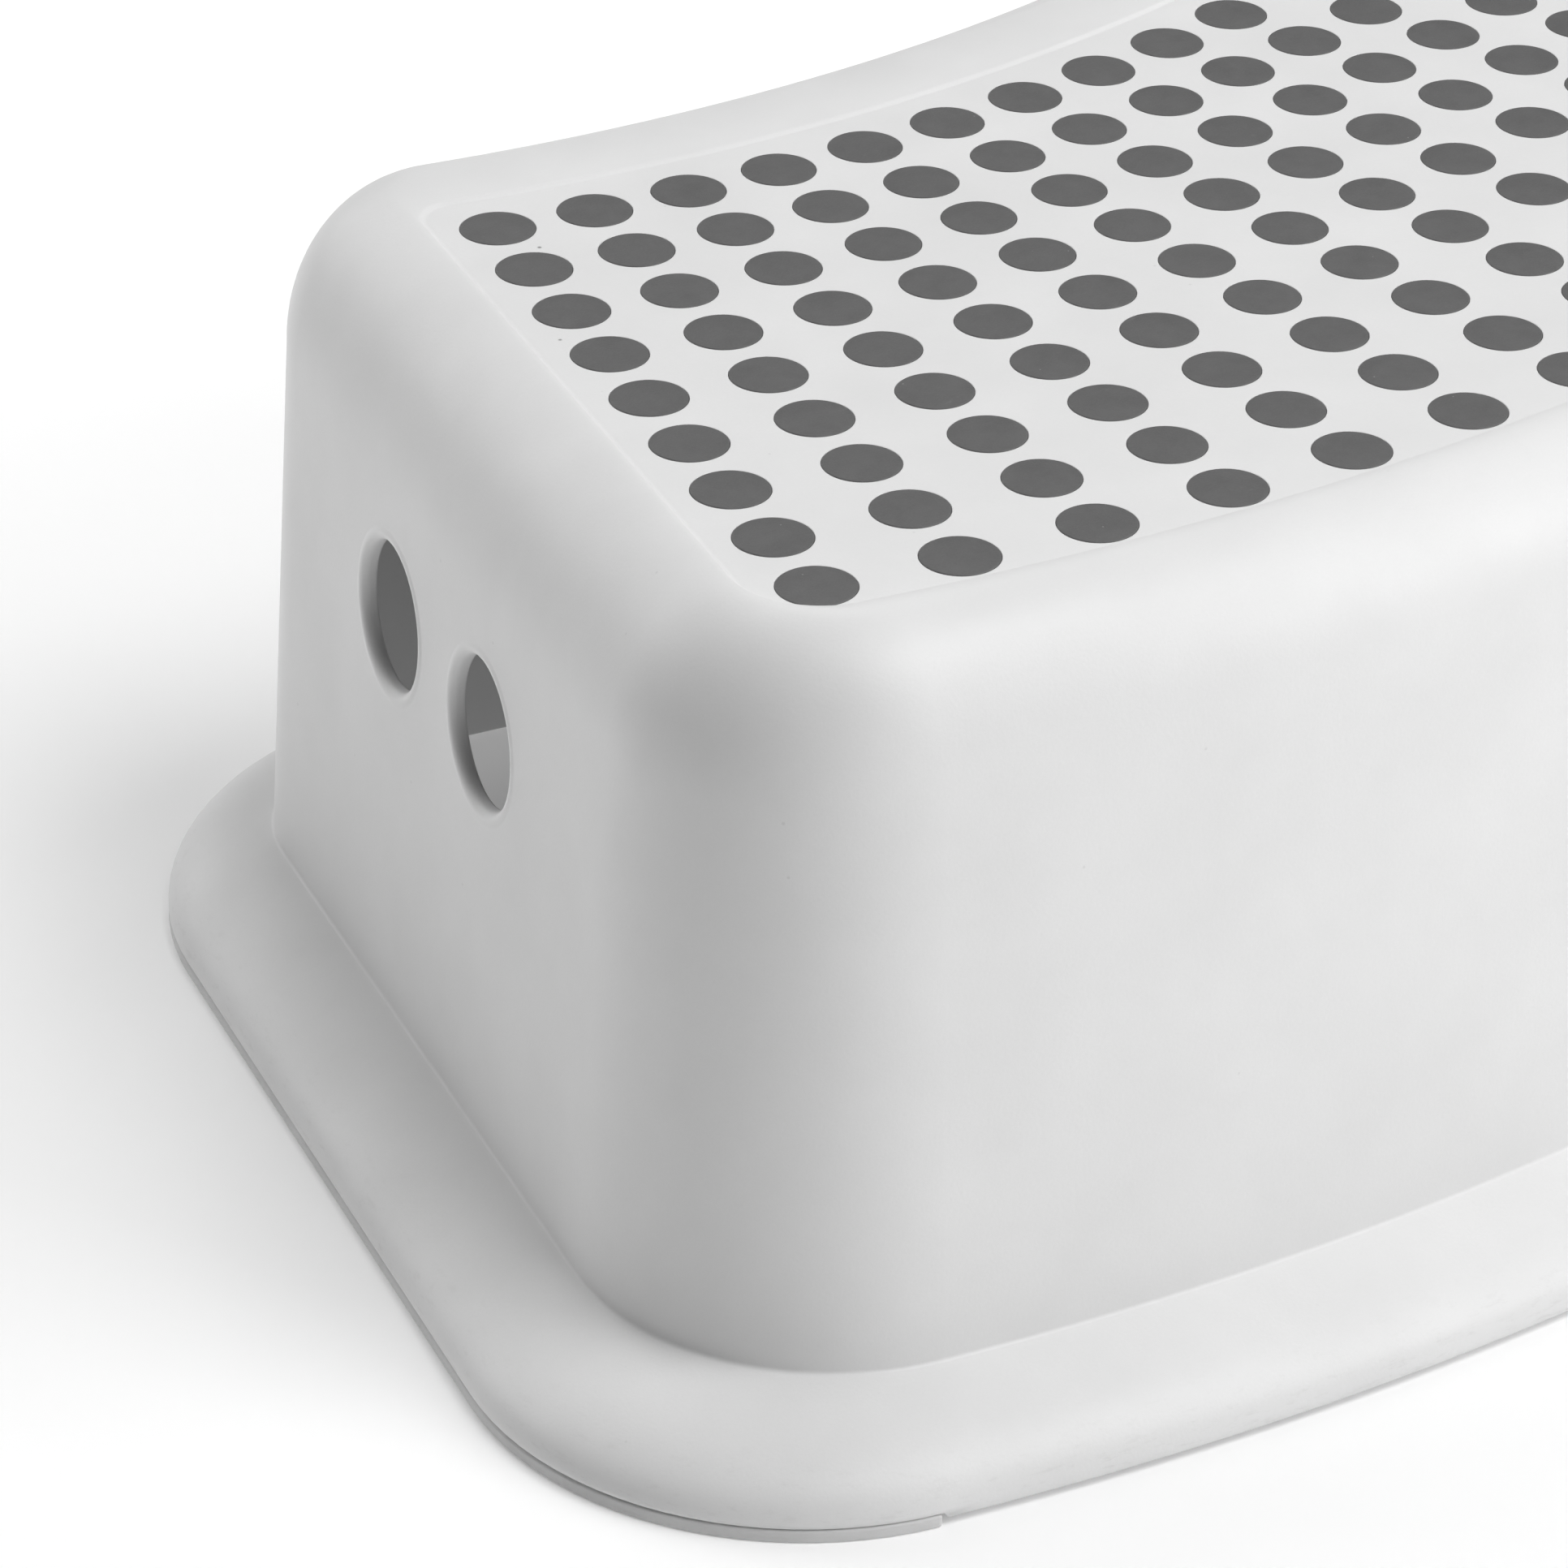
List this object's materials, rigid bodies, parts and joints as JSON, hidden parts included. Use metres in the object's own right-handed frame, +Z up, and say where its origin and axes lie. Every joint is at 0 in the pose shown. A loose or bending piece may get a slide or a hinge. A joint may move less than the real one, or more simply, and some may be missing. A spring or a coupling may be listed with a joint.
{
  "type": "step stool",
  "caption": "Low step stool: a hollow moulded plastic shell with a curved plan and flared skirt, soft round tread studs, finger holes in the ends and soft foot strips.",
  "frame": {"origin": "on the floor, at the centre of the stool's box", "axes": "+X along the stool's length, -Y towards the long convex front edge, +Z up"},
  "size_m": [0.3742, 0.2568, 0.1296],
  "materials": {
    "shell": "satin moulded",
    "tread": "soft matte",
    "foot_strip": "soft matte"
  },
  "bodies": {
    "root": {"body_shell": "shell", "tread_row_1": "tread", "tread_row_2": "tread", "tread_row_3": "tread", "tread_row_4": "tread", "tread_row_5": "tread", "tread_row_6": "tread", "tread_row_7": "tread", "tread_row_8": "tread", "tread_row_9": "tread", "foot_strip_left": "foot_strip", "foot_strip_right": "foot_strip"}
  },
  "joints": []
}
